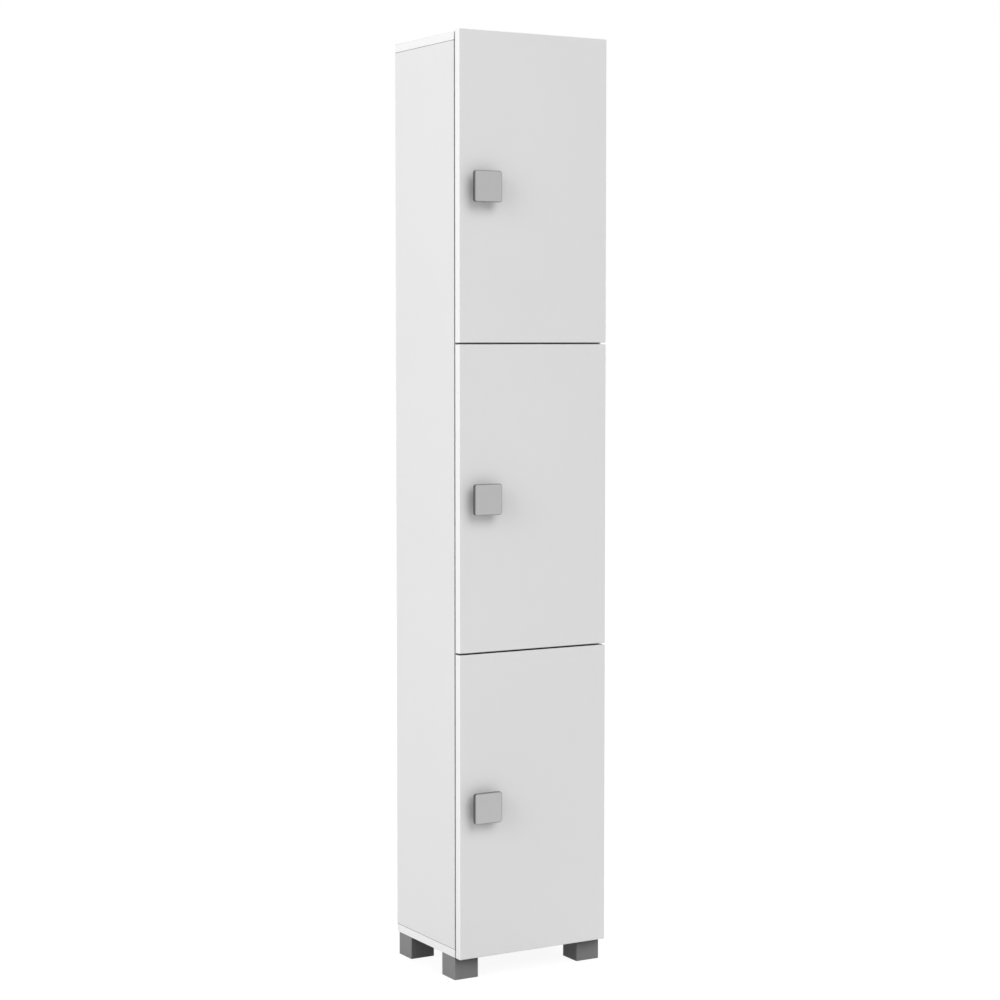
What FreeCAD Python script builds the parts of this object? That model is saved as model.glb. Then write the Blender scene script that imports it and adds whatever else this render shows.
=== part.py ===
"""Tall bathroom cabinet: three slab doors one above the other, on four square legs.

Millimetres, +Z up, front towards -Y. The origin is on the floor, in the middle of the cabinet's
width and of its depth over the knobs. Every size is a cell of the sheet "Sizes".
"""
import FreeCAD, Part
import Sketcher
import os
import re

SIZES = {
    # carcass
    "cabinet_width": 300,
    "carcass_depth": 217,
    "board": 15,
    "edge_chamfer": 0.6,
    "groove_depth": 6,
    "groove_setback": 10,
    "back_thickness": 3,
    "back_clearance": 0.15,
    "back_end_clearance": 0.5,
    # legs
    "leg_height": 40,
    "leg_width": 47,
    "leg_front_inset": 0.5,
    "leg_side_inset": 0.5,
    "leg_back_inset": 6.5,
    "leg_edge_chamfer": 0.8,
    "leg_wall": 3,
    "leg_top": 4,
    "leg_rib": 2,
    "leg_rib_lift": 6,
    # doors
    "door_height": 537,
    "door_thickness": 15,
    "door_gap": 3,
    "door_back_gap": 3.5,
    "door_edge_chamfer": 0.8,
    "top_reveal": 3,
    # knobs
    "knob_size": 54,
    "knob_plate": 7,
    "knob_corner_radius": 4.5,
    "knob_edge_chamfer": 0.8,
    "knob_stem_length": 15,
    "knob_stem_diameter": 16,
    "knob_inset": 46,
    # loose shelves and their pins
    "shelf_setback": 10,
    "shelf_side_clearance": 1,
    "pin_front": 37,
    "pin_back": 167,
    "pin_diameter": 5,
    "pin_length": 8,
    "pin_hole_depth": 9,
    "pin_hole_clearance": 0.1,
    "pin_tongue_length": 9,
    "pin_tongue_width": 10,
    "pin_tongue_thickness": 3,
    # hinges
    "hinge_inset": 90,
    "cup_diameter": 35,
    "cup_depth": 11.2,
    "cup_edge": 3,
    "cup_clearance": 0.1,
    "cup_floor": 1.2,
    "cup_rim": 1.2,
    "cup_ear_width": 15,
    "cup_ear_reach": 31,
    "cup_ear_radius": 5,
    "cup_ear_offset": 6,
    "cup_well_length": 21,
    "cup_well_width": 18,
    "cup_notch_end": 15.7,
    "neck_width": 7,
    "neck_thickness": 3,
    "neck_clearance": 0.7,
    "neck_offset": 7.5,
    "neck_bend_radius": 4.5,
    "hinge_pin_diameter": 2.5,
    "hinge_pin_inset": 7.4,
    "hinge_pin_depth": 7.4,
    "hinge_pin_clearance": 0.05,
    "eye_diameter": 4.6,
    "arm_start": 2,
    "arm_end": 58,
    "arm_width": 14,
    "arm_height": 13,
    "arm_lift": 4.5,
    "arm_sheet": 1.2,
    "arm_edge_chamfer": 0.8,
    "arm_nose": 2.5,
    "plate_start": 12,
    "plate_end": 54,
    "plate_base": 2,
    "plate_wing_middle": 37,
    "plate_wing_reach": 24,
    "plate_wing_width": 16,
    "plate_wing_chamfer": 5,
    "plate_clearance": 0.3,
}
DOORS = ("bottom", "middle", "top")
HINGES = ("lower", "upper")
PIN_COLUMNS = {"front": "pin_front", "back": "pin_back"}
TOLERANCE = 1e-6

# places, as expressions of the sizes
BACK = "((knob_stem_length + knob_plate + door_thickness + door_back_gap + carcass_depth) / 2)"
FRONT = f"({BACK} - carcass_depth)"
DOOR_BACK = f"({FRONT} - door_back_gap)"
DOOR_FRONT = f"({DOOR_BACK} - door_thickness)"
LEFT = "(-cabinet_width / 2)"
PITCH = "(door_height + door_gap)"
SIDE_HEIGHT = f"({len(DOORS)} * {PITCH} - door_gap - top_reveal - 2 * board)"
INNER_WIDTH = "(cabinet_width - 2 * board)"
GROOVE_WIDTH = "(back_thickness + 2 * back_clearance)"
GROOVE_FRONT = f"(carcass_depth - groove_setback - {GROOVE_WIDTH})"
CUP_X = "(board - cup_edge - cup_diameter / 2)"
PIN_X = "(board - hinge_pin_inset)"
PIN_Y = "(-door_back_gap - hinge_pin_depth)"

doc = FreeCAD.newDocument("tall_bathroom_cabinet")
sheet = doc.addObject("Spreadsheet::Sheet", "Sizes")
for row, (alias, number) in enumerate(SIZES.items(), 1):
    sheet.set(f"A{row}", alias)
    sheet.set(f"B{row}", str(number))
    sheet.setAlias(f"B{row}", alias)
doc.recompute()

NODES = []
CUTS = []


def bind(text):
    """An expression of size names, as one that reads the sheet."""
    return re.sub(r"[a-z]\w*", lambda word: f"Sizes.{word[0]}" if word[0] in SIZES else word[0], text)


def place(piece, x="0", y="0", z="0"):
    for axis, text in zip("xyz", (x, y, z)):
        piece.setExpression(f"Placement.Base.{axis}", bind(text))


def new_body(label, x="0", y="0", z="0"):
    """A body whose local origin is placed at x, y, z."""
    body = doc.addObject("PartDesign::Body", label)
    body.Label = label
    place(body, x, y, z)
    NODES.append(body)
    return body


def datum(body, role):
    return next(item for item in body.Origin.OriginFeatures if item.Role == role)


def new_sketch(body, plane, offset="0"):
    sketch = body.newObject("Sketcher::SketchObject", "Outline")
    sketch.AttachmentSupport = [(datum(body, plane), "")]
    sketch.MapMode = "FlatFace"
    sketch.setExpression("AttachmentOffset.Base.z", bind(offset))
    return sketch


def dimension(sketch, kind, ends, text):
    index = sketch.addConstraint(Sketcher.Constraint(kind, *ends, 1.0))
    sketch.setExpression(f"Constraints[{index}]", bind(text))


def rectangle(sketch, left, low, wide, high):
    """A rectangle with its corner at left, low."""
    corners = [FreeCAD.Vector(*spot) for spot in ((1, 1, 0), (2, 1, 0), (2, 2, 0), (1, 2, 0))]
    lines = [
        sketch.addGeometry(Part.LineSegment(corners[i], corners[(i + 1) % 4]), False)
        for i in range(4)
    ]
    for i in range(4):
        sketch.addConstraint(Sketcher.Constraint("Coincident", lines[i], 2, lines[(i + 1) % 4], 1))
        sketch.addConstraint(Sketcher.Constraint(("Horizontal", "Vertical")[i % 2], lines[i]))
    dimension(sketch, "DistanceX", (-1, 1, lines[0], 1), left)
    dimension(sketch, "DistanceY", (-1, 1, lines[0], 1), low)
    dimension(sketch, "DistanceX", (lines[0], 1, lines[0], 2), wide)
    dimension(sketch, "DistanceY", (lines[1], 1, lines[1], 2), high)


def pad(body, sketch, length):
    feature = body.newObject("PartDesign::Pad", "Pad")
    feature.Profile = sketch
    feature.setExpression("Length", bind(length))
    sketch.Visibility = False
    return feature


def drill(body, plane, offset, spots, diameter, depth, forward=False):
    """Round holes at spots of a plane; forward cuts along the plane's normal, not against it."""
    sketch = new_sketch(body, plane, offset)
    for across, along in spots:
        circle = sketch.addGeometry(Part.Circle(), False)
        dimension(sketch, "DistanceX", (-1, 1, circle, 3), across)
        dimension(sketch, "DistanceY", (-1, 1, circle, 3), along)
        dimension(sketch, "Diameter", (circle,), diameter)
    pocket = body.newObject("PartDesign::Pocket", "Pocket")
    pocket.Profile = sketch
    pocket.Reversed = forward
    pocket.setExpression("Length", bind(depth))
    sketch.Visibility = False
    CUTS.append(pocket)
    return pocket


def box(body, corner, sides, cut=False):
    kind = "PartDesign::SubtractiveBox" if cut else "PartDesign::AdditiveBox"
    feature = body.newObject(kind, "Box")
    place(feature, *corner)
    for name, text in zip(("Length", "Width", "Height"), sides):
        feature.setExpression(name, bind(text))
    if cut:
        CUTS.append(feature)
    return feature


def cylinder(body, start, axis, diameter, length, cut=False):
    """A round bar from start along axis."""
    kind = "PartDesign::SubtractiveCylinder" if cut else "PartDesign::AdditiveCylinder"
    feature = body.newObject(kind, "Cylinder")
    feature.Placement.Rotation = FreeCAD.Rotation(FreeCAD.Vector(0, 0, 1), FreeCAD.Vector(*axis))
    place(feature, *start)
    feature.setExpression("Radius", bind(f"({diameter}) / 2"))
    feature.setExpression("Height", bind(length))
    if cut:
        CUTS.append(feature)
    return feature


def dress_edges(body, kind, property_name, size, chosen):
    """Dresses the edges of the last feature whose middle passes the test chosen."""
    doc.recompute()
    base = body.Tip
    names = []
    for number, edge in enumerate(base.Shape.Edges, 1):
        middle = edge.valueAt((edge.FirstParameter + edge.LastParameter) / 2)
        if chosen(edge, middle):
            names.append(f"Edge{number}")
    if not names:
        raise RuntimeError(f"no edge to dress on {body.Label}")
    feature = body.newObject(f"PartDesign::{kind}", kind)
    feature.Base = (base, names)
    feature.setExpression(property_name, bind(size))
    return feature


def round_edges(body, radius, chosen):
    return dress_edges(body, "Fillet", "Radius", radius, chosen)


def bevel_edges(body, size, chosen):
    return dress_edges(body, "Chamfer", "Size", size, chosen)


def every_edge(edge, middle):
    return True


def same(first, second):
    return abs(first - second) < TOLERANCE


def along(edge, x=0, y=0, z=0):
    """Whether an edge is straight and runs along the given direction."""
    if edge.Curve.TypeId != "Part::GeomLine":
        return False
    direction = edge.Curve.Direction
    return same(abs(direction.dot(FreeCAD.Vector(x, y, z))), 1)


# ---------------------------------------------------------------- carcass

def cap_panel(label, z, inner_is_low):
    """The top or bottom panel, which caps the sides; the back's groove is in its inner face."""
    body = new_body(label, LEFT, FRONT, z)
    outline = new_sketch(body, "XY_Plane")
    rectangle(outline, "0", "0", "cabinet_width", "carcass_depth")
    pad(body, outline, "board")
    bevel_edges(body, "edge_chamfer", every_edge)
    box(
        body,
        ("board - groove_depth", GROOVE_FRONT, "0" if inner_is_low else "board - groove_depth"),
        (f"{INNER_WIDTH} + 2 * groove_depth", GROOVE_WIDTH, "groove_depth"),
        cut=True,
    )


def divider_centre(number):
    """Height of a divider's middle above the carcass's underside."""
    return f"({number} * {PITCH} - door_gap / 2)"


def shelf_underside(level):
    """Height of a loose shelf's underside above the carcass's underside: mid-compartment."""
    low = "board" if level == 0 else f"({divider_centre(level)} + board / 2)"
    is_last = level == len(DOORS) - 1
    high = f"({SIDE_HEIGHT} + board)" if is_last else f"({divider_centre(level + 1)} - board / 2)"
    return f"(({low} + {high}) / 2)"


def side_panel(label, x, is_left):
    """A side; its inner face carries the back's groove and the holes of the shelf pins."""
    body = new_body(label, x, FRONT, "leg_height + board")
    outline = new_sketch(body, "XY_Plane")
    rectangle(outline, "0", "0", "board", "carcass_depth")
    pad(body, outline, SIDE_HEIGHT)
    box(
        body,
        ("board - groove_depth" if is_left else "0", GROOVE_FRONT, "0"),
        ("groove_depth", GROOVE_WIDTH, SIDE_HEIGHT),
        cut=True,
    )
    spots = [
        (column, f"{shelf_underside(level)} - board - pin_diameter / 2")
        for level in range(len(DOORS))
        for column in PIN_COLUMNS.values()
    ]
    drill(body, "YZ_Plane", "board" if is_left else "0", spots, "pin_diameter + pin_hole_clearance",
          "pin_hole_depth", not is_left)


def divider(label, number):
    """A fixed shelf between the sides, behind a door gap."""
    z = f"leg_height + {divider_centre(number)} - board / 2"
    body = new_body(label, f"{LEFT} + board", FRONT, z)
    outline = new_sketch(body, "XY_Plane")
    rectangle(outline, "0", "0", INNER_WIDTH, GROOVE_FRONT)
    pad(body, outline, "board")


def back_panel():
    """Thin board held in the grooves of the sides, top and bottom."""
    reach = "(groove_depth - back_end_clearance)"
    body = new_body(
        "back_panel",
        f"{LEFT} + board - {reach}",
        f"{FRONT} + {GROOVE_FRONT} + back_clearance",
        f"leg_height + board - {reach}",
    )
    outline = new_sketch(body, "XY_Plane")
    rectangle(outline, "0", "0", f"{INNER_WIDTH} + 2 * {reach}", "back_thickness")
    pad(body, outline, f"{SIDE_HEIGHT} + 2 * {reach}")


def loose_shelf(label, level):
    body = new_body(
        label,
        f"{LEFT} + board + shelf_side_clearance",
        f"{FRONT} + shelf_setback",
        f"leg_height + {shelf_underside(level)}",
    )
    outline = new_sketch(body, "XY_Plane")
    rectangle(outline, "0", "0", f"{INNER_WIDTH} - 2 * shelf_side_clearance",
              f"{GROOVE_FRONT} - shelf_setback")
    pad(body, outline, "board")
    bevel_edges(body, "edge_chamfer", lambda edge, middle: along(edge, x=1) and same(middle.y, 0))


def shelf_pin(label, level, column, is_left):
    """A pin under a loose shelf: a peg in the side and a flat tongue under the shelf."""
    outward = "-1" if is_left else "1"
    body = new_body(label, f"({outward}) * {INNER_WIDTH} / 2", f"{FRONT} + {column}",
                    f"leg_height + {shelf_underside(level)}")
    cylinder(body, ("0", "0", "-pin_diameter / 2"), (-1 if is_left else 1, 0, 0),
             "pin_diameter", "pin_length")
    box(
        body,
        ("0" if is_left else "-pin_tongue_length", "-pin_tongue_width / 2", "-pin_tongue_thickness"),
        ("pin_tongue_length", "pin_tongue_width", "pin_tongue_thickness"),
    )


# ---------------------------------------------------------------- legs

def leg_corners():
    """The low corner of each leg's square, from the carcass's front left corner."""
    across = {
        "left": "leg_side_inset",
        "right": "cabinet_width - leg_side_inset - leg_width",
    }
    deep = {
        "front": "leg_front_inset",
        "back": "carcass_depth - leg_back_inset - leg_width",
    }
    return {f"{row}_{side}": (x, y) for row, y in deep.items() for side, x in across.items()}


def leg(label, x, y):
    """A square moulded block, hollow from below, with two crossing ribs inside."""
    body = new_body(label, f"{LEFT} + {x}", f"{FRONT} + {y}", "0")
    outline = new_sketch(body, "XY_Plane")
    rectangle(outline, "0", "0", "leg_width", "leg_width")
    pad(body, outline, "leg_height")
    bevel_edges(body, "leg_edge_chamfer", lambda edge, middle: along(edge, z=1))
    inside = "(leg_width - 2 * leg_wall)"
    box(body, ("leg_wall", "leg_wall", "0"), (inside, inside, "leg_height - leg_top"), cut=True)
    rib_start = "(leg_width / 2 - leg_rib / 2)"
    rib_height = "leg_height - leg_top - leg_rib_lift"
    box(body, ("leg_wall", rib_start, "leg_rib_lift"), (inside, "leg_rib", rib_height))
    box(body, (rib_start, "leg_wall", "leg_rib_lift"), ("leg_rib", inside, rib_height))


# ---------------------------------------------------------------- doors and knobs

def door_bottom(number):
    return f"leg_height + {number} * {PITCH}"


def door(label, number):
    """A slab with bevelled edges; the holes of the hinge cups are in its back, at the right."""
    body = new_body(label, LEFT, DOOR_FRONT, door_bottom(number))
    outline = new_sketch(body, "XY_Plane")
    rectangle(outline, "0", "0", "cabinet_width", "door_thickness")
    pad(body, outline, "door_height")
    bevel_edges(body, "door_edge_chamfer", every_edge)
    for height in ("hinge_inset", "door_height - hinge_inset"):
        cylinder(body, ("cabinet_width - cup_edge - cup_diameter / 2", "door_thickness", height),
                 (0, -1, 0), "cup_diameter", "cup_depth + cup_clearance", cut=True)


def knob(label, number):
    """A square plate with rounded corners on a round stem."""
    body = new_body(label, f"{LEFT} + knob_inset", DOOR_FRONT, f"{door_bottom(number)} + door_height / 2")
    corner = ("-knob_size / 2", "-knob_stem_length - knob_plate", "-knob_size / 2")
    box(body, corner, ("knob_size", "knob_plate", "knob_size"))
    round_edges(body, "knob_corner_radius", lambda edge, middle: along(edge, y=1))
    front = -SIZES["knob_stem_length"] - SIZES["knob_plate"]
    bevel_edges(body, "knob_edge_chamfer", lambda edge, middle: same(middle.y, front))
    cylinder(body, ("0", "0", "0"), (0, -1, 0), "knob_stem_diameter", "knob_stem_length")


# ---------------------------------------------------------------- hinges

def hinge_body(label, number, hinge):
    """A body with its origin at the right side's inner front edge, at the hinge's height."""
    height = "hinge_inset" if hinge == "lower" else "door_height - hinge_inset"
    z = f"{door_bottom(number)} + {height}"
    return new_body(label, "cabinet_width / 2 - board", FRONT, z)


def hinge_cups(label, number):
    """One door's two cups, each with its screw ears, the well for the arm's neck and the hinge pin."""
    body = hinge_body(label, number, HINGES[0])
    seat = "(-door_back_gap)"
    top = f"({seat} + cup_rim)"
    cylinder(body, (CUP_X, top, "0"), (0, -1, 0), "cup_diameter - 2 * cup_clearance",
             "cup_rim + cup_depth")
    box(body, (f"{CUP_X} - cup_ear_offset - cup_ear_width / 2", seat, "-cup_ear_reach"),
        ("cup_ear_width", "cup_rim", "2 * cup_ear_reach"))
    reach = SIZES["cup_ear_reach"]
    round_edges(body, "cup_ear_radius",
                lambda edge, middle: along(edge, y=1) and same(abs(middle.z), reach))
    floor = f"({seat} - cup_depth + cup_floor)"
    well_depth = "cup_rim + cup_depth - cup_floor"
    box(body, (f"{CUP_X} - cup_well_length / 2", floor, "-cup_well_width / 2"),
        ("cup_well_length", well_depth, "cup_well_width"), cut=True)
    box(body, (CUP_X, floor, "-neck_width / 2 - neck_clearance"),
        ("cup_notch_end", well_depth, "neck_width + 2 * neck_clearance"), cut=True)
    cylinder(body, (PIN_X, PIN_Y, "-neck_width / 2 - neck_clearance"), (0, 0, 1),
             "hinge_pin_diameter", "neck_width + 2 * neck_clearance")
    doc.recompute()
    pair = body.newObject("PartDesign::LinearPattern", "LinearPattern")
    pair.TransformMode = "Whole shape"
    pair.Direction = (datum(body, "Z_Axis"), [""])
    pair.Occurrences = len(HINGES)
    pair.setExpression("Length", bind("door_height - 2 * hinge_inset"))
    body.Tip = pair


def hinge_arm(label, number, hinge):
    """The arm: a channel over the mounting plate, and a cranked neck that ends in the cup's eye."""
    body = hinge_body(label, number, hinge)
    neck_back = "(-neck_offset - neck_thickness / 2)"
    neck_low = f"({PIN_Y} - neck_thickness / 2)"
    half = "-neck_width / 2"
    box(body, (neck_back, neck_low, half),
        (f"{PIN_X} - {neck_back}", "neck_thickness", "neck_width"))
    box(body, (neck_back, neck_low, half),
        ("neck_thickness", f"arm_start + arm_nose - {neck_low}", "neck_width"))
    inside = -SIZES["neck_offset"] + SIZES["neck_thickness"] / 2
    outside = -SIZES["neck_offset"] - SIZES["neck_thickness"] / 2
    round_edges(body, "neck_bend_radius", lambda edge, middle: (
        along(edge, z=1) and same(middle.x, inside) and middle.y < 0))
    round_edges(body, "neck_bend_radius + neck_thickness", lambda edge, middle: (
        along(edge, z=1) and same(middle.x, outside) and middle.y < 0))
    cylinder(body, (PIN_X, PIN_Y, half), (0, 0, 1), "eye_diameter", "neck_width")
    box(body, ("-arm_height", "arm_start", "-arm_width / 2"),
        ("arm_height - arm_lift", "arm_end - arm_start", "arm_width"))
    web = -SIZES["arm_height"]
    bevel_edges(body, "arm_edge_chamfer", lambda edge, middle: along(edge, y=1) and same(middle.x, web))
    box(body, ("-arm_height + arm_sheet", "arm_start + arm_nose", "-arm_width / 2 + arm_sheet"),
        ("arm_height - arm_lift - arm_sheet", "arm_end - arm_start - arm_nose",
         "arm_width - 2 * arm_sheet"), cut=True)
    cylinder(body, (PIN_X, PIN_Y, half), (0, 0, 1),
             "hinge_pin_diameter + 2 * hinge_pin_clearance", "neck_width", cut=True)


def hinge_plate(label, number, hinge):
    """The mounting plate: two wings and a ridge that the arm straddles."""
    body = hinge_body(label, number, hinge)
    box(body, ("-plate_base", "plate_wing_middle - plate_wing_width / 2", "-plate_wing_reach"),
        ("plate_base", "plate_wing_width", "2 * plate_wing_reach"))
    reach = SIZES["plate_wing_reach"]
    bevel_edges(body, "plate_wing_chamfer",
                lambda edge, middle: along(edge, x=1) and same(abs(middle.z), reach))
    ridge_height = "(arm_height - arm_sheet - plate_clearance)"
    ridge_width = "(arm_width - 2 * arm_sheet - 2 * plate_clearance)"
    box(body, (f"-{ridge_height}", "plate_start", f"-{ridge_width} / 2"),
        (ridge_height, "plate_end - plate_start", ridge_width))


# ---------------------------------------------------------------- the cabinet

cap_panel("top_panel", f"leg_height + board + {SIDE_HEIGHT}", True)
cap_panel("bottom_panel", "leg_height", False)
side_panel("side_panel_left", LEFT, True)
side_panel("side_panel_right", "cabinet_width / 2 - board", False)
divider("divider_lower", 1)
divider("divider_upper", 2)
back_panel()
for level, name in enumerate(DOORS):
    loose_shelf(f"loose_shelf_{name}", level)
    for row, column in PIN_COLUMNS.items():
        for side in ("left", "right"):
            shelf_pin(f"shelf_pin_{name}_{row}_{side}", level, column, side == "left")
for name, corner in leg_corners().items():
    leg(f"leg_{name}", *corner)
for number, name in enumerate(DOORS):
    door(f"door_{name}", number)
    knob(f"knob_{name}", number)
    hinge_cups(f"hinge_cups_{name}", number)
    for hinge in HINGES:
        hinge_arm(f"hinge_arm_{name}_{hinge}", number, hinge)
        hinge_plate(f"hinge_plate_{name}_{hinge}", number, hinge)
doc.recompute()

# ---------------------------------------------------------------- tests and files

for item in doc.Objects:
    if "Invalid" in item.State or "Error" in item.State:
        parent = item.getParentGeoFeatureGroup()
        raise RuntimeError(f"{item.Label} of {parent.Label if parent else 'none'} failed: {item.State}")
for cut in CUTS:
    before = cut.BaseFeature.Shape.Volume
    if cut.Shape.Volume > before - TOLERANCE * before:
        raise RuntimeError(f"a cut removes nothing: {cut.Name} of {cut.getParentGeoFeatureGroup().Label}")
os.makedirs("parts", exist_ok=True)
for node in NODES:
    shape = node.Shape
    if shape.isNull() or not shape.isValid() or not shape.Solids:
        raise RuntimeError(f"{node.Label} has no valid solid")
    shape.exportStep(f"parts/{node.Label}.step")
    print(f"{node.Label}: {len(shape.Solids)} solid(s), {shape.Volume / 1000:.1f} cm3")
print(f"{len(NODES)} nodes")
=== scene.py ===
"""Looks of the tall bathroom cabinet: materials, small fasteners, floor, light and camera.

Metres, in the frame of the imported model: +Z up, front towards -Y.
"""

import math

import bmesh
import bpy
from mathutils import Matrix, Vector

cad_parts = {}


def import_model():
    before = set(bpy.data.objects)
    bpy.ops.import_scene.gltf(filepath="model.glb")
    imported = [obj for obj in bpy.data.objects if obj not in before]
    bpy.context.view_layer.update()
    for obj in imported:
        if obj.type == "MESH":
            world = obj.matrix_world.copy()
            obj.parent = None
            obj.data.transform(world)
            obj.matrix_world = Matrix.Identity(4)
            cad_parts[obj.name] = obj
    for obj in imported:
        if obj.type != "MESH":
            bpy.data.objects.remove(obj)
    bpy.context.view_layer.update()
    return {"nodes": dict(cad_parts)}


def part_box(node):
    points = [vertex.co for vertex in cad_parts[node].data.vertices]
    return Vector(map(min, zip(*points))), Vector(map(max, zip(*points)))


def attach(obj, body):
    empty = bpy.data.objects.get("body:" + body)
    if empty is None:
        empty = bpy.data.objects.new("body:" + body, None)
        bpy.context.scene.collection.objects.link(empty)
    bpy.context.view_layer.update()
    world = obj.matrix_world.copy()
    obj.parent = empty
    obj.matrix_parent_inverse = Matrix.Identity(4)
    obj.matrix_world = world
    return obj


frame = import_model()
nodes = frame["nodes"]

MM = 0.001
DOORS = ("bottom", "middle", "top")
HINGES = ("lower", "upper")
ROWS = ("front", "back")

# camera, fitted to the photograph's outline
LENS = 83.99
CAMERA_PLACE = (-2.1112, -3.6251, 1.1254)
CAMERA_YAW = math.radians(30.135)
CAMERA_PITCH = math.radians(3.470)
CAMERA_SHIFT = -0.019

# light: the radiance that each part of it gives a white surface that faces it, and where it stands
AMBIENT = 0.34
KEY = 0.37
KEY_AZIMUTH = math.radians(11)
KEY_HEIGHT = math.radians(38)
FILL = 0.575
FILL_PLACE = Vector((-5.9, -1.3, 3.0))
FILL_AIM = Vector((-0.15, 0.0, 0.9))
FILL_SIZE = 4.4
REAR = 0.40
REAR_AZIMUTH = math.radians(142)
REAR_HEIGHT = math.radians(32)
SOFTNESS = math.radians(46)

# ---------------------------------------------------------------- node helpers


class Shader:
    """A material's node tree, built by short calls."""

    def __init__(self, name):
        self.material = bpy.data.materials.new(name)
        self.material.use_nodes = True
        self.tree = self.material.node_tree
        self.tree.nodes.clear()
        self.output = self.tree.nodes.new("ShaderNodeOutputMaterial")

    def node(self, kind, inputs=None, **settings):
        """A new node; inputs are constants or the outputs of other nodes."""
        made = self.tree.nodes.new(kind)
        for key, value in settings.items():
            setattr(made, key, value)
        for key, value in (inputs or {}).items():
            if isinstance(value, bpy.types.NodeSocket):
                self.tree.links.new(value, made.inputs[key])
            else:
                made.inputs[key].default_value = value
        return made

    def math(self, operation, *values):
        return self.node("ShaderNodeMath", dict(enumerate(values)), operation=operation).outputs[0]

    def place(self):
        """Object coordinates, which are fixed to the piece as it moves."""
        return self.node("ShaderNodeTexCoord").outputs["Object"]

    def normal(self):
        """The surface's direction in object coordinates, as its three parts."""
        return self.split(self.node("ShaderNodeTexCoord").outputs["Normal"])

    def split(self, vector):
        return self.node("ShaderNodeSeparateXYZ", {0: vector}).outputs

    def stretched(self, vector, scale):
        return self.node("ShaderNodeMapping", {"Vector": vector, "Scale": scale}).outputs[0]

    def noise(self, vector, scale, detail=2.0, roughness=0.5):
        return self.node("ShaderNodeTexNoise", {"Vector": vector, "Scale": scale, "Detail": detail,
                                                "Roughness": roughness}).outputs["Fac"]

    def open_share(self, distance, samples=8):
        """How open a point's surroundings are, from 0 in a deep corner to 1 in the open."""
        return self.node("ShaderNodeAmbientOcclusion", {"Distance": distance},
                         samples=samples).outputs["AO"]

    def range(self, value, low, high, to_low=0.0, to_high=1.0):
        """The value with its stretch from low to high spread over another, and held at the ends."""
        return self.node("ShaderNodeMapRange", {0: value, 1: low, 2: high, 3: to_low,
                                                4: to_high}).outputs[0]

    def mix(self, factor, first, second):
        made = self.node("ShaderNodeMix", data_type="RGBA")
        for key, value in ((0, factor), (6, first), (7, second)):
            if isinstance(value, bpy.types.NodeSocket):
                self.tree.links.new(value, made.inputs[key])
            else:
                made.inputs[key].default_value = value
        return made.outputs[2]

    def shade(self, colour, value):
        """A colour times a number."""
        return self.node("ShaderNodeVectorMath", {0: colour, "Scale": value},
                         operation="SCALE").outputs[0]

    def bump(self, height, strength, distance):
        return self.node("ShaderNodeBump", {"Height": height, "Strength": strength,
                                            "Distance": distance}).outputs[0]

    def finish(self, **inputs):
        shader = self.node("ShaderNodeBsdfPrincipled",
                           {key.replace("_", " "): value for key, value in inputs.items()})
        self.tree.links.new(shader.outputs[0], self.output.inputs[0])
        return self.material


def grey(value, warm=0.0):
    """A grey, or a slightly warm one."""
    return (value * (1 + warm), value, value * (1 - warm), 1)


# ---------------------------------------------------------------- materials

# the stretch of a noise's values that is spread over a whole range
MIDDLE = (0.3, 0.7)
WIDE = (0.25, 0.75)

# boards: the face, the bands on its edges, the seam between them, and painted shade at the joints with
# other boards
BOARD_DULL = grey(0.83)
BOARD_BRIGHT = grey(0.845)
BAND = grey(0.96)
BAND_THICKNESS = 0.8 * MM
SEAM = grey(0.45)
SEAM_WIDTH = 0.12 * MM
SEAM_SHARE = 0.55
JOINT_SHADE = grey(0.08)
BEVEL_SHADE_SHARE = 0.85
FAINT_BEVEL_SHADE_SHARE = 0.3
END_SHADE_WIDTH = 0.35 * MM
END_SHADE_SHARE = 0.8
THICKNESS_AXIS = {"side": 0, "door": 1, "flat": 2}

# how far a direction goes along an axis: flat faces more than FLAT, bevels more than SLANTED,
# upright ones less than UPRIGHT, and a knob's plate from its narrow sides to its front over FACING
FLAT = 0.8
SLANTED = 0.5
UPRIGHT = 0.1
FACING = (0.5, 0.97)

# painted shade: how far it reaches, and its low and high openness with the tone at each; for the
# crevices the openness is squared
CREVICE_SHADE_REACH = 9 * MM
CREVICE_SHADE_TONES = (0.01, 0.32, 0.03, 1.0)
HALO_SHADE_REACH = 30 * MM
HALO_SHADE_TONES = (0.45, 1.0, 0.82, 1.0)
HOLLOW_SHADE_REACH = 2.5 * MM
HOLLOW_SHADE_TONES = (0.1, 0.6, 0.25, 1.0)
HOLLOW_SHADE_SAMPLES = 6
SHELTER_SHADE_REACH = 250 * MM
SHELTER_SHADE_TONES = (0.2, 0.5, 0.2, 1.0)

# back board: how many fibres there are to a metre, across and along
FIBRES = (260.0, 260.0, 90.0)

# unused holes: the chipboard of their walls
HOLE_RADIUS = 2.5 * MM
CHIPBOARD_DARK = (0.16, 0.12, 0.085, 1)
CHIPBOARD_LIGHT = (0.30, 0.24, 0.18, 1)

# knobs: painted dark reflections on the plate's rim and its narrow sides
SIDE_PAINTED_REFLECTION = 0.3
RIM = 1.6 * MM
RIM_PAINTED_REFLECTION = 0.55


def inset_from(s, axes, box, across):
    """How far a point lies inside the nearest side of a box, along the axes in across."""
    inset = None
    for axis in across:
        for edge, sign in ((box[0][axis], 1.0), (box[1][axis], -1.0)):
            distance = s.math("MULTIPLY_ADD", axes[axis], sign, -sign * edge)
            inset = distance if inset is None else s.math("MINIMUM", inset, distance)
    return inset


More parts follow.
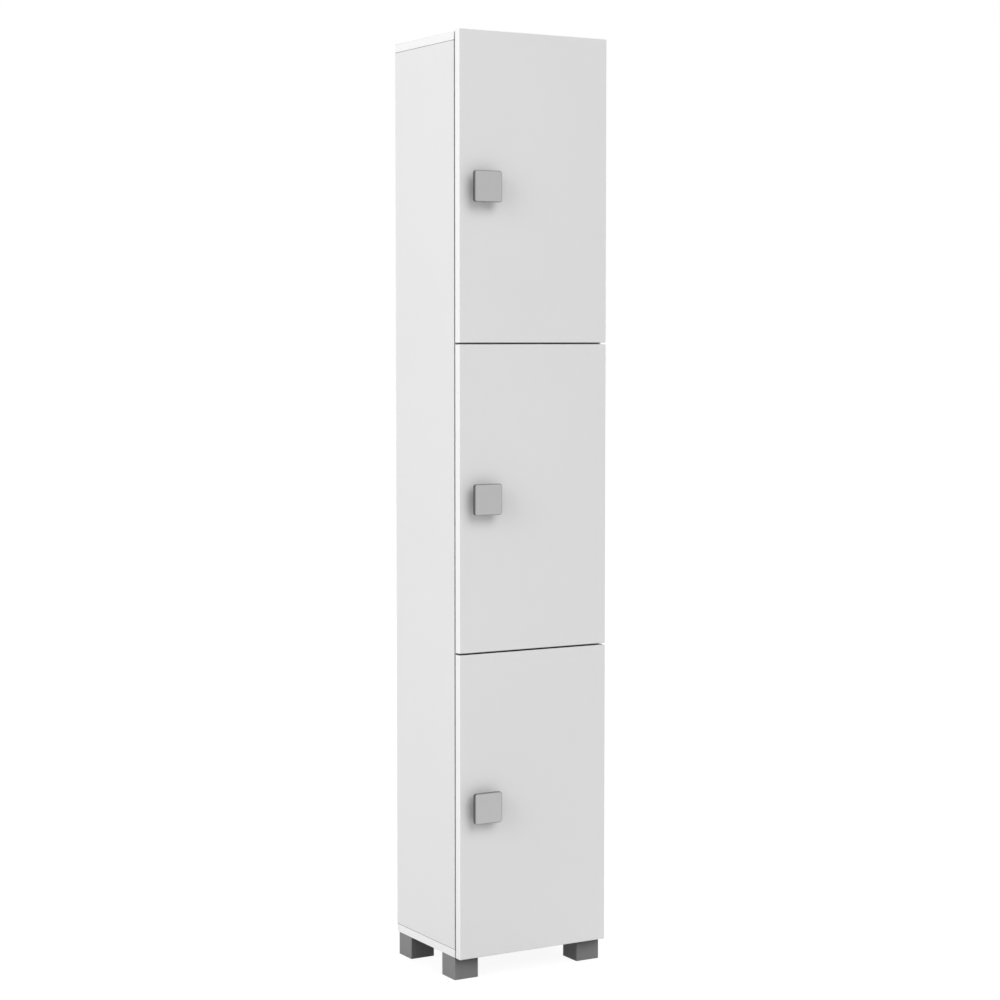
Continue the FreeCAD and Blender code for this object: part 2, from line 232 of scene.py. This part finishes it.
def board_material(name, node, kind):
    """White melamine board with whiter banded edges and the hairline seam between the two.

    The top and bottom panels have painted shade on their bevels where they meet the sides, the sides
    a painted shade line at their ends, and the doors a soft painted shade round what stands off them.
    """
    s = Shader(name)
    low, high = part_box(node)
    joint_side = {"top_panel": -1.0, "bottom_panel": 1.0}.get(node)
    place = s.place()
    axes = s.split(place)
    normal = s.normal()
    across = s.math("ABSOLUTE", normal[THICKNESS_AXIS[kind]])
    is_edge = s.math("LESS_THAN", across, FLAT)
    inset = inset_from(s, axes, (low, high), {0, 1, 2} - {THICKNESS_AXIS[kind]})
    off_seam = s.math("ABSOLUTE", s.math("SUBTRACT", inset, BAND_THICKNESS))
    seam = s.range(off_seam, SEAM_WIDTH / 2, SEAM_WIDTH, SEAM_SHARE, 0.0)
    in_band = s.math("LESS_THAN", inset, BAND_THICKNESS)
    banded = s.math("MAXIMUM", is_edge, in_band)
    # painted shade in crevices, such as the gaps between the doors
    shadow = s.range(s.math("POWER", s.open_share(CREVICE_SHADE_REACH), 2.0), *CREVICE_SHADE_TONES)
    cloud = s.noise(place, scale=3.5, detail=3.0)
    colour = s.mix(s.range(cloud, *MIDDLE), BOARD_DULL, BOARD_BRIGHT)
    colour = s.mix(banded, colour, BAND)
    colour = s.mix(s.math("MULTIPLY", seam, s.math("SUBTRACT", 1.0, is_edge)), colour, SEAM)
    # painted shade in the joints: dark on the bevels that face the neighbouring board, fainter on the
    # others
    if joint_side:
        towards = s.math("MULTIPLY", normal[2], joint_side)
        slanted = s.math("MULTIPLY", s.math("GREATER_THAN", across, SLANTED), is_edge)
        share = s.range(towards, -UPRIGHT, UPRIGHT, FAINT_BEVEL_SHADE_SHARE, BEVEL_SHADE_SHARE)
        colour = s.mix(s.math("MULTIPLY", slanted, share), colour, JOINT_SHADE)
    if kind == "side":
        # a painted shade line at the ends, where the side meets the top and bottom panels
        joint = s.math("MINIMUM", s.math("SUBTRACT", axes[2], low[2]),
                       s.math("SUBTRACT", high[2], axes[2]))
        share = s.range(joint, END_SHADE_WIDTH * 0.6, END_SHADE_WIDTH, END_SHADE_SHARE, 0.0)
        colour = s.mix(share, colour, JOINT_SHADE)
    # the doors: a wider painted shade round the knobs and whatever else stands off them
    if kind == "door":
        shadow = s.math("MULTIPLY", shadow, s.range(s.open_share(HALO_SHADE_REACH), *HALO_SHADE_TONES))
    colour = s.shade(colour, shadow)
    pearl = s.noise(place, scale=900.0)
    ripple = s.noise(place, scale=9.0, detail=1.0)
    height = s.math("MULTIPLY_ADD", ripple, 0.6, pearl)
    rough = s.math("ADD", s.range(cloud, *MIDDLE, 0.34, 0.42), s.range(pearl, *MIDDLE, -0.02, 0.02))
    return s.finish(Base_Color=colour, Roughness=rough, Normal=s.bump(height, 0.18, 0.12 * MM))


def back_material():
    """Thin lacquered fibreboard, with faint felted fibres."""
    s = Shader("back_board")
    place = s.place()
    fibre = s.noise(s.stretched(place, FIBRES), scale=1.0, detail=4.0, roughness=0.65)
    cloud = s.noise(place, scale=5.0, detail=3.0)
    colour = s.mix(s.range(fibre, 0.3, 0.75), grey(0.76, 0.008), grey(0.81, 0.005))
    colour = s.mix(s.range(cloud, 0.35, 0.65, 0.0, 0.4), colour, grey(0.79, 0.002))
    return s.finish(Base_Color=colour, Roughness=s.range(fibre, 0.2, 0.8, 0.6, 0.48),
                    Normal=s.bump(fibre, 0.25, 0.15 * MM))


def metal_material(name, colour, rough, grain, strength, brush=(1.0, 1.0, 1.0), plate=None):
    """Plated metal; brush is how far its grain is drawn out along each axis.

    plate is the box of a square plate that faces the front: its rim and its narrow sides have painted
    dark reflections.
    """
    s = Shader(name)
    place = s.place()
    lines = s.noise(s.stretched(place, brush), scale=grain, detail=5.0, roughness=0.7)
    cloud = s.noise(place, scale=38.0, detail=3.0)
    tone = s.mix(s.range(lines, *WIDE), grey(colour * 0.94), grey(colour * 1.05))
    # painted shade in small hollows, such as the recesses of screws
    tone = s.shade(tone, s.range(s.open_share(HOLLOW_SHADE_REACH, HOLLOW_SHADE_SAMPLES), *HOLLOW_SHADE_TONES))
    if plate is not None:
        # painted dark reflections on the plate's narrow sides and its rim
        facing = s.range(s.math("ABSOLUTE", s.normal()[1]), *FACING, SIDE_PAINTED_REFLECTION, 1.0)
        rim = s.range(inset_from(s, s.split(place), plate, (0, 2)), RIM * 0.5, RIM, RIM_PAINTED_REFLECTION, 1.0)
        tone = s.shade(tone, s.math("MINIMUM", facing, rim))
    roughness = s.math("ADD", s.range(lines, *WIDE, rough - 0.05, rough + 0.05),
                       s.range(cloud, *MIDDLE, -0.03, 0.03))
    return s.finish(Base_Color=tone, Metallic=1.0, Roughness=roughness,
                    Normal=s.bump(lines, strength, 0.04 * MM))


def plastic_material(name, colour, rough, grain, strength, shaded_under_cabinet=False, **more):
    """Moulded plastic with a fine grain, and if asked, painted shade where the cabinet covers it."""
    s = Shader(name)
    place = s.place()
    pits = s.node("ShaderNodeTexVoronoi", {"Vector": place, "Scale": grain}).outputs["Distance"]
    cloud = s.noise(place, scale=24.0, detail=3.0)
    tone = s.mix(s.range(cloud, *MIDDLE), grey(colour * 0.96), grey(colour * 1.04))
    if shaded_under_cabinet:
        # painted shade where the cabinet covers it
        tone = s.shade(tone, s.range(s.open_share(SHELTER_SHADE_REACH), *SHELTER_SHADE_TONES))
    return s.finish(Base_Color=tone, Roughness=s.range(cloud, *MIDDLE, rough - 0.04, rough + 0.04),
                    Normal=s.bump(pits, strength, 0.08 * MM), **more)


def hole_material():
    """The mouth of an unused hole: painted shade in the middle where it goes deep, with its chipboard
    wall round it.
    """
    s = Shader("pin_hole_painted_shade")
    place = s.place()
    radius = s.node("ShaderNodeVectorMath", {0: place}, operation="LENGTH").outputs["Value"]
    speckle = s.noise(place, scale=2600.0)
    wall = s.mix(s.range(speckle, *MIDDLE), CHIPBOARD_DARK, CHIPBOARD_LIGHT)
    # painted shade in the middle of the hole, for its depth
    colour = s.mix(s.range(radius, HOLE_RADIUS - 0.8 * MM, HOLE_RADIUS - 0.1 * MM), grey(0.02), wall)
    return s.finish(Base_Color=colour, Roughness=0.9)


BOARD_KINDS = {"side_panel": "side", "divider": "flat", "loose_shelf": "flat", "top_panel": "flat",
               "bottom_panel": "flat", "door": "door"}
KNOB_METAL = {"colour": 0.50, "rough": 0.36, "grain": 2400.0, "strength": 0.35,
              "brush": (0.05, 1.0, 1.0)}
hinge_steel = metal_material("hinge_steel", colour=0.66, rough=0.27, grain=700.0, strength=0.12,
                             brush=(1.0, 1.0, 0.35))
screw_steel = metal_material("screw_steel", colour=0.62, rough=0.30, grain=1500.0, strength=0.15)
cam_zinc = metal_material("cam_zinc", colour=0.55, rough=0.42, grain=1100.0, strength=0.3)
# the legs get painted shade where the cabinet covers them
leg_plastic = plastic_material("leg_plastic", colour=0.225, rough=0.55, grain=2300.0, strength=0.25,
                               shaded_under_cabinet=True)
bumper_rubber = plastic_material("bumper_rubber", colour=0.78, rough=0.3, grain=900.0, strength=0.05,
                                 Transmission_Weight=0.35)
pin_hole = hole_material()
back_board = back_material()


def dress(node, material):
    """Gives a node of the frame its material."""
    data = nodes[node].data
    if not data.materials:
        data.materials.append(material)
    for slot in nodes[node].material_slots:
        slot.material = material


for name in nodes:
    if name.startswith("leg_"):
        dress(name, leg_plastic)
    elif name.startswith("knob_"):
        dress(name, metal_material(f"metal_{name}", plate=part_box(name), **KNOB_METAL))
    elif name.startswith("hinge_"):
        dress(name, hinge_steel)
    elif name.startswith("shelf_pin_"):
        dress(name, screw_steel)
    elif name == "back_panel":
        dress(name, back_board)
    else:
        kind = next(kind for start, kind in BOARD_KINDS.items() if name.startswith(start))
        dress(name, board_material(f"white_board_{name}", name, kind))

# ---------------------------------------------------------------- fasteners

SIDES = 40
SHARP = math.radians(32)
SEATED = 0.6 * MM
CAM_RADIUS = 7.4 * MM
CAM_RIM = 0.35 * MM
BUMPER_RADIUS = 4.0 * MM
BUMPER_WALL = 0.5 * MM


def add(name, data):
    """A new object in the scene."""
    item = bpy.data.objects.new(name, data)
    bpy.context.scene.collection.objects.link(item)
    return item


def lathe(profile):
    """A closed turned form: profile is (radius, height) from the axis below to the axis above."""
    form = bmesh.new()
    rings = []
    for radius, height in profile:
        if radius == 0:
            rings.append([form.verts.new((0, 0, height))])
            continue
        rings.append([
            form.verts.new((radius * math.cos(turn), radius * math.sin(turn), height))
            for turn in (2 * math.pi * i / SIDES for i in range(SIDES))
        ])
    for lower, upper in zip(rings, rings[1:]):
        for i in range(SIDES):
            j = (i + 1) % SIDES
            corners = [lower[i % len(lower)], lower[j % len(lower)],
                       upper[j % len(upper)], upper[i % len(upper)]]
            form.faces.new(list(dict.fromkeys(corners)))
    return form


def cross_cutter(reach, width, top, depth):
    """Two crossed blades that taper downwards, which cut a cross recess."""
    form = bmesh.new()
    for across, along in ((reach, width), (width, reach)):
        ends = []
        for height, share in ((top + depth, 1.0), (top - depth, 0.55)):
            ends.append([
                form.verts.new((x * across * share / 2, y * along * share / 2, height))
                for x, y in ((-1, -1), (1, -1), (1, 1), (-1, 1))
            ])
        upper, lower = ends
        form.faces.new(upper)
        form.faces.new(lower[::-1])
        for i in range(4):
            j = (i + 1) % 4
            form.faces.new((lower[i], lower[j], upper[j], upper[i]))
    return form


def to_mesh(form, name):
    """The form as a mesh, with its faces outwards."""
    bmesh.ops.recalc_face_normals(form, faces=form.faces)
    mesh = bpy.data.meshes.new(name)
    form.to_mesh(mesh)
    form.free()
    return mesh


def carved(name, profile, forms):
    """The turned form less the other forms, as one mesh with smooth shading and crisp edges."""
    body = add(name, to_mesh(lathe(profile), name))
    cutters = []
    for form in forms:
        cutter = add(f"{name}_cutter", to_mesh(form, f"{name}_cutter"))
        modifier = body.modifiers.new("Recess", "BOOLEAN")
        modifier.object = cutter
        modifier.operation = "DIFFERENCE"
        modifier.solver = "EXACT"
        modifier.use_self = True
        cutters.append(cutter)
    bpy.context.view_layer.update()
    graph = bpy.context.evaluated_depsgraph_get()
    mesh = bpy.data.meshes.new_from_object(body.evaluated_get(graph))
    mesh.name = name
    for item in [body, *cutters]:
        bpy.data.objects.remove(item)
    mesh.polygons.foreach_set("use_smooth", [True] * len(mesh.polygons))
    mesh.set_sharp_from_angle(angle=SHARP)
    return mesh


def pan_head(name, diameter, height, recess):
    """A domed screw head with a cross recess; it goes a little way into what it holds."""
    r = diameter / 2
    dome = [(r * math.cos(a), height * (0.42 + 0.58 * math.sin(a)))
            for a in (math.radians(d) for d in range(0, 90, 15))]
    profile = [(0, -SEATED), (r * 0.97, -SEATED), (r, 0), *dome, (0, height)]
    blades = cross_cutter(reach=recess, width=recess * 0.27, top=height, depth=height * 0.75)
    return carved(name, profile, [blades])


def cam_face(name):
    """The visible face of a cam lock: a flush drum with a rim and a cross slot."""
    r = CAM_RADIUS
    floor_height = CAM_RIM * 0.35
    profile = [(0, -SEATED), (r, -SEATED), (r, CAM_RIM * 0.6), (r - 0.25 * MM, CAM_RIM),
               (r - 1.1 * MM, CAM_RIM), (r - 1.4 * MM, floor_height), (0, floor_height)]
    blades = cross_cutter(reach=7.2 * MM, width=1.5 * MM, top=floor_height, depth=0.75 * MM)
    return carved(name, profile, [blades])


def hole_face(name):
    """The mouth of an unused hole, as a thin dished disc."""
    r = HOLE_RADIUS
    profile = [(0, -0.2 * MM), (r, -0.2 * MM), (r, 0.05 * MM), (r - 0.1 * MM, 0.07 * MM),
               (r - 0.3 * MM, 0.03 * MM), (0, 0.03 * MM)]
    return carved(name, profile, [])


def bumper_dome(name, height):
    """A soft domed dot that a door closes on."""
    r = BUMPER_RADIUS
    dome = [(r * math.cos(a) * 0.98, BUMPER_WALL + (height - BUMPER_WALL) * math.sin(a))
            for a in (math.radians(d) for d in range(12, 90, 13))]
    profile = [(0, -0.05 * MM), (r, -0.05 * MM), (r, BUMPER_WALL), *dome, (0, height)]
    return carved(name, profile, [])


def put(name, mesh, material, body, place, towards, turn=0.0):
    """A piece whose base stands at place and whose axis points towards."""
    if not mesh.materials:
        mesh.materials.append(material)
    piece = add(name, mesh)
    spin = Vector(towards).to_track_quat("Z", "Y").to_matrix().to_4x4()
    piece.matrix_world = Matrix.Translation(place) @ spin @ Matrix.Rotation(turn, 4, "Z")
    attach(piece, body)


INWARD = (-1, 0, 0)
OUTWARD = (1, 0, 0)
DOWN = (0, 0, -1)
BACKWARD = (0, 1, 0)
FORWARD = (0, -1, 0)

cup_screw = pan_head("cup_screw", diameter=7 * MM, height=1.2 * MM, recess=4.2 * MM)
plate_screw = pan_head("plate_screw", diameter=7 * MM, height=1.5 * MM, recess=4.2 * MM)
arm_screw = pan_head("arm_screw", diameter=8 * MM, height=1.8 * MM, recess=5.0 * MM)
knob_screw = pan_head("knob_screw", diameter=8 * MM, height=2.0 * MM, recess=4.8 * MM)
leg_screw = pan_head("leg_screw", diameter=8 * MM, height=2.6 * MM, recess=4.8 * MM)
cam = cam_face("cam_lock")
hole = hole_face("pin_hole")
bumper = bumper_dome("door_bumper", height=3.2 * MM)

# where the fasteners sit
CUP_SCREW_REACH = 24 * MM
EAR_MIDDLE = 11.5 * MM
PLATE_SCREW_REACH = 16 * MM
PLATE_SCREW_DEPTH = 37 * MM
PLATE_BASE = 2 * MM
ARM_SCREW_DEPTHS = {"front": 21 * MM, "back": 47 * MM}
HOLE_STEP = 32 * MM
CAM_INSET = 24 * MM
CAM_DEPTHS = {"front": 37 * MM, "back": 167 * MM}
BUMPER_INSET = 60 * MM
LEG_TOP = 4 * MM

# turns of the recesses, so that they don't line up: in radians, and in radians for each metre
KNOB_TURN = 0.4
CUP_TURN = 0.3
PLATE_TURN = 0.7
ARM_TWIST = 50
SIDE_CAM_TWIST = 90
DIVIDER_CAM_TWIST = 70
LEG_TWIST = 9

right_low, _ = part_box("side_panel_right")
left_low, left_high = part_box("side_panel_left")
inner_faces = (("left", left_high.x, OUTWARD), ("right", right_low.x, INWARD))

# screws of the knobs and cups, which move with the doors, and of the plates and arms, which don't
for index, door in enumerate(DOORS):
    body = f"{door}_door"
    _, door_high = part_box(f"door_{door}")
    knob_low, knob_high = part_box(f"knob_{door}")
    put(f"knob_screw_{door}", knob_screw, screw_steel, body,
        ((knob_low.x + knob_high.x) / 2, door_high.y, (knob_low.z + knob_high.z) / 2), BACKWARD,
        KNOB_TURN + index)
    _, cups_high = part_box(f"hinge_cups_{door}")
    for hinge in HINGES:
        arm_low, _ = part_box(f"hinge_arm_{door}_{hinge}")
        plate_low, plate_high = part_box(f"hinge_plate_{door}_{hinge}")
        level = (plate_low.z + plate_high.z) / 2
        for end, sign in (("low", -1), ("high", 1)):
            put(f"cup_screw_{door}_{hinge}_{end}", cup_screw, screw_steel, body,
                (right_low.x - EAR_MIDDLE, cups_high.y, level + sign * CUP_SCREW_REACH), BACKWARD,
                CUP_TURN * sign + index)
            put(f"plate_screw_{door}_{hinge}_{end}", plate_screw, screw_steel, "carcass",
                (right_low.x - PLATE_BASE, right_low.y + PLATE_SCREW_DEPTH,
                 level + sign * PLATE_SCREW_REACH), INWARD, PLATE_TURN * sign + index)
        for end, depth in ARM_SCREW_DEPTHS.items():
            put(f"arm_screw_{door}_{hinge}_{end}", arm_screw, screw_steel, "carcass",
                (arm_low.x, right_low.y + depth, level), INWARD,
                depth * ARM_TWIST + index)

# unused holes, a step below and above each shelf pin, whose peg fills its own hole
for door in DOORS:
    for row in ROWS:
        for side, inner, towards in inner_faces:
            pin_low, pin_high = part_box(f"shelf_pin_{door}_{row}_{side}")
            for end, sign in (("below", -1), ("above", 1)):
                put(f"pin_hole_{door}_{row}_{side}_{end}", hole, pin_hole, "carcass",
                    (inner, (pin_low.y + pin_high.y) / 2, pin_high.z - HOLE_RADIUS + sign * HOLE_STEP),
                    towards)

# cam locks, in the sides at the top and the bottom and in the dividers from below
for row, depth in CAM_DEPTHS.items():
    for side, inner, towards in inner_faces:
        for end, height in (("low", left_low.z + CAM_INSET), ("high", left_high.z - CAM_INSET)):
            put(f"cam_lock_{side}_{row}_{end}", cam, cam_zinc, "carcass",
                (inner, left_low.y + depth, height), towards,
                depth * SIDE_CAM_TWIST + height)
    for level in ("lower", "upper"):
        low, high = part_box(f"divider_{level}")
        for side, x in (("left", low.x + CAM_INSET), ("right", high.x - CAM_INSET)):
            put(f"cam_lock_divider_{level}_{row}_{side}", cam, cam_zinc, "carcass",
                (x, left_low.y + depth, low.z), DOWN, depth * DIVIDER_CAM_TWIST + x)

# bumpers, on the left side's front edge
for door in DOORS:
    low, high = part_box(f"door_{door}")
    for end, height in (("low", low.z + BUMPER_INSET), ("high", high.z - BUMPER_INSET)):
        put(f"door_bumper_{door}_{end}", bumper, bumper_rubber, "carcass",
            ((left_low.x + left_high.x) / 2, left_low.y, height), FORWARD)

# leg screws, on a diagonal inside each hollow leg
for row in ROWS:
    for side in ("left", "right"):
        low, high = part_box(f"leg_{row}_{side}")
        middle = (low + high) / 2
        quarter = (high.x - low.x) / 4
        for end, sign in (("a", -1), ("b", 1)):
            put(f"leg_screw_{row}_{side}_{end}", leg_screw, screw_steel, "carcass",
                (middle.x + sign * quarter, middle.y + sign * quarter, high.z - LEG_TOP), DOWN,
                sign + low.x * LEG_TWIST)

# ---------------------------------------------------------------- floor, light and camera

FLOOR_SIZE = 60.0
FLOOR_DROP = 0.2 * MM
FLOOR_WHITE = 0.57
FLOOR_GLOW = 0.90
FLOOR_SHADED = 0.17


def floor():
    """A wide white floor: what is seen of it is bright, and what it gives back is dimmer."""
    form = bmesh.new()
    bmesh.ops.create_grid(form, x_segments=2, y_segments=2, size=FLOOR_SIZE / 2)
    piece = add("floor", to_mesh(form, "floor"))
    piece.location.z = -FLOOR_DROP
    s = Shader("floor")
    path = s.node("ShaderNodeLightPath").outputs
    seen = s.math("MAXIMUM", path["Is Camera Ray"], path["Is Glossy Ray"])
    seen = s.math("MAXIMUM", seen, path["Is Transmission Ray"])
    plain = s.node("ShaderNodeBsdfDiffuse", {"Color": grey(FLOOR_WHITE)})
    shaded = s.node("ShaderNodeBsdfDiffuse", {"Color": grey(FLOOR_SHADED)})
    glow = s.node("ShaderNodeEmission", {"Strength": FLOOR_GLOW})
    bright = s.node("ShaderNodeAddShader", {0: shaded.outputs[0], 1: glow.outputs[0]})
    both = s.node("ShaderNodeMixShader", {0: seen, 1: plain.outputs[0], 2: bright.outputs[0]})
    s.tree.links.new(both.outputs[0], s.output.inputs[0])
    piece.data.materials.append(s.material)


def world():
    """White all round for the camera and in reflections, and dimmer as light."""
    made = bpy.data.worlds.new("studio")
    made.use_nodes = True
    tree = made.node_tree
    tree.nodes.clear()
    path = tree.nodes.new("ShaderNodeLightPath")
    dim = tree.nodes.new("ShaderNodeBackground")
    white = tree.nodes.new("ShaderNodeBackground")
    for background, strength in ((dim, AMBIENT), (white, 1.0)):
        background.inputs["Color"].default_value = grey(1.0)
        background.inputs["Strength"].default_value = strength
    seen = path.outputs["Is Camera Ray"]
    for name in ("Is Glossy Ray", "Is Transmission Ray"):
        either = tree.nodes.new("ShaderNodeMath")
        either.operation = "MAXIMUM"
        tree.links.new(seen, either.inputs[0])
        tree.links.new(path.outputs[name], either.inputs[1])
        seen = either.outputs[0]
    mix = tree.nodes.new("ShaderNodeMixShader")
    output = tree.nodes.new("ShaderNodeOutputWorld")
    for source, target in ((seen, mix.inputs[0]), (dim.outputs[0], mix.inputs[1]),
                           (white.outputs[0], mix.inputs[2]), (mix.outputs[0], output.inputs[0])):
        tree.links.new(source, target)
    bpy.context.scene.world = made


def sun(name, radiance, azimuth, height):
    """A wide soft lamp far away: azimuth goes to the right from the front, height up from level."""
    data = bpy.data.lights.new(name, "SUN")
    data.energy = radiance * math.pi
    data.angle = SOFTNESS
    lamp = add(name, data)
    lamp.visible_glossy = False
    towards = Vector((math.sin(azimuth) * math.cos(height), -math.cos(azimuth) * math.cos(height),
                      math.sin(height)))
    lamp.rotation_euler = towards.to_track_quat("Z", "Y").to_euler()


def panel_lamp(name, radiance, place, aim, size):
    """A wide square lamp at place, which gives a surface at aim that radiance."""
    data = bpy.data.lights.new(name, "AREA")
    data.shape = "SQUARE"
    data.size = size
    data.energy = radiance * math.pi ** 2 * (aim - place).length_squared
    lamp = add(name, data)
    lamp.visible_glossy = False
    lamp.visible_camera = False
    lamp.location = place
    lamp.rotation_euler = (place - aim).to_track_quat("Z", "Y").to_euler()


def camera():
    """The view that the photograph was taken from."""
    data = bpy.data.cameras.new("camera")
    data.lens = LENS
    data.shift_y = CAMERA_SHIFT
    eye = add("camera", data)
    eye.location = CAMERA_PLACE
    eye.rotation_euler = (math.pi / 2 - CAMERA_PITCH, 0, -CAMERA_YAW)
    bpy.context.scene.camera = eye


floor()
world()
sun("key", KEY, KEY_AZIMUTH, KEY_HEIGHT)
sun("rear", REAR, REAR_AZIMUTH, REAR_HEIGHT)
panel_lamp("fill", FILL, FILL_PLACE, FILL_AIM, FILL_SIZE)
camera()
bpy.context.scene.view_settings.view_transform = "Standard"
